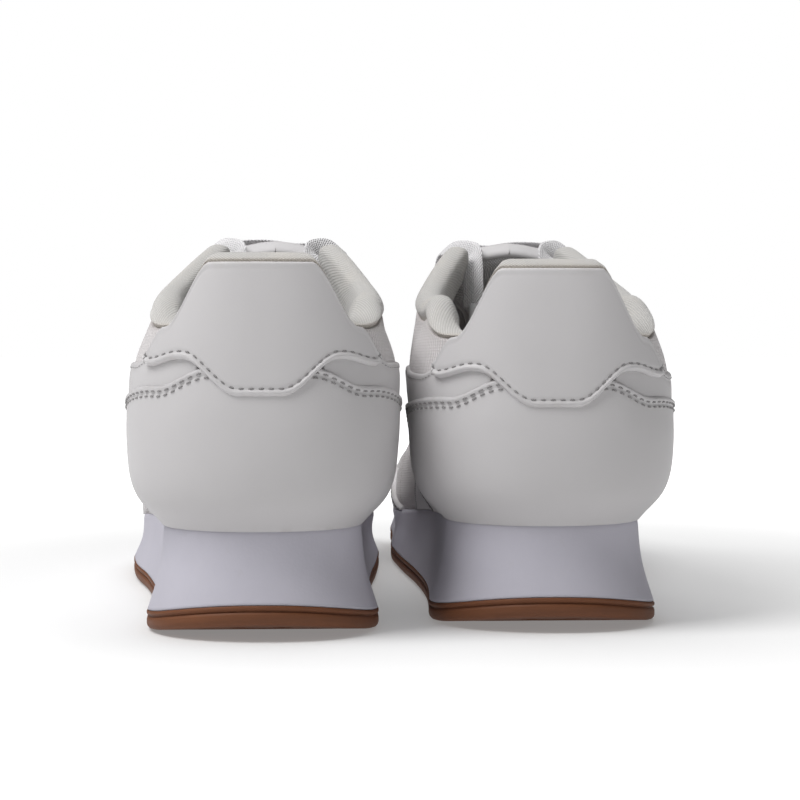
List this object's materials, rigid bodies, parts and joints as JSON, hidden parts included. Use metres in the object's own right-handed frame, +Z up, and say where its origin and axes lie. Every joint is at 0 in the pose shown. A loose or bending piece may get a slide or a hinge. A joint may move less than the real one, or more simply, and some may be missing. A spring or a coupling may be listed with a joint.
{
  "type": "cheer shoes",
  "caption": "Pair of low white cheer and training shoes with smooth leather heel panels, padded collar, foam midsole and gum rubber outsole, laces tucked in.",
  "frame": {"origin": "bottom centre of the bounding box of the pair", "axes": "+Z up, +Y towards the toes, +X towards the right shoe"},
  "size_m": [0.1826, 0.2938, 0.1216],
  "materials": {
    "smooth_leather": "satin",
    "upper_mesh": "matte",
    "lining_textile": "matte",
    "padding_foam": "matte",
    "eva_foam": "matte",
    "gum_rubber": "matte",
    "stiffener_board": "matte",
    "woven_tape": "matte",
    "aglet_plastic": "gloss"
  },
  "bodies": {
    "left_shoe": {"outsole_left": "gum_rubber", "midsole_left": "eva_foam", "strobel_board_left": "stiffener_board", "sockliner_left": "lining_textile", "vamp_left": "upper_mesh", "heel_foxing_left": "smooth_leather", "heel_tab_left": "smooth_leather", "heel_counter_left": "stiffener_board", "toe_overlay_left": "smooth_leather", "toe_puff_left": "stiffener_board", "collar_foam_left": "padding_foam", "collar_lining_left": "lining_textile", "lace_left": "woven_tape", "aglet_lateral_left": "aglet_plastic", "aglet_medial_left": "aglet_plastic", "quarter_lateral_left": "upper_mesh", "quarter_medial_left": "upper_mesh", "side_panel_lateral_left": "smooth_leather", "side_panel_medial_left": "smooth_leather", "eyestay_lateral_left": "smooth_leather", "eyestay_medial_left": "smooth_leather"},
    "right_shoe": {"outsole_right": "gum_rubber", "midsole_right": "eva_foam", "strobel_board_right": "stiffener_board", "sockliner_right": "lining_textile", "vamp_right": "upper_mesh", "heel_foxing_right": "smooth_leather", "heel_tab_right": "smooth_leather", "heel_counter_right": "stiffener_board", "toe_overlay_right": "smooth_leather", "toe_puff_right": "stiffener_board", "collar_foam_right": "padding_foam", "collar_lining_right": "lining_textile", "lace_right": "woven_tape", "aglet_lateral_right": "aglet_plastic", "aglet_medial_right": "aglet_plastic", "quarter_lateral_right": "upper_mesh", "quarter_medial_right": "upper_mesh", "side_panel_lateral_right": "smooth_leather", "side_panel_medial_right": "smooth_leather", "eyestay_lateral_right": "smooth_leather", "eyestay_medial_right": "smooth_leather"},
    "left_tongue": {"tongue_shell_left": "smooth_leather", "tongue_foam_left": "padding_foam", "tongue_lining_left": "lining_textile", "tongue_binding_left": "smooth_leather", "lace_keeper_left": "woven_tape"},
    "right_tongue": {"tongue_shell_right": "smooth_leather", "tongue_foam_right": "padding_foam", "tongue_lining_right": "lining_textile", "tongue_binding_right": "smooth_leather", "lace_keeper_right": "woven_tape"}
  },
  "joints": [
    {"name": "right_shoe_lift", "type": "slide", "parent": "left_shoe", "child": "right_shoe", "axis": [0, 0, 1], "range_m": [0, 0.15]},
    {"name": "left_tongue_press", "type": "hinge", "parent": "left_shoe", "child": "left_tongue", "pos_m": [-0.047, 0.0424, 0.066], "axis": [1, 0, 0], "range_deg": [0, 5], "stiffness_Nm_per_rad": 3},
    {"name": "right_tongue_press", "type": "hinge", "parent": "right_shoe", "child": "right_tongue", "pos_m": [0.047, 0.0564, 0.066], "axis": [1, 0, 0], "range_deg": [0, 5], "stiffness_Nm_per_rad": 3}
  ]
}
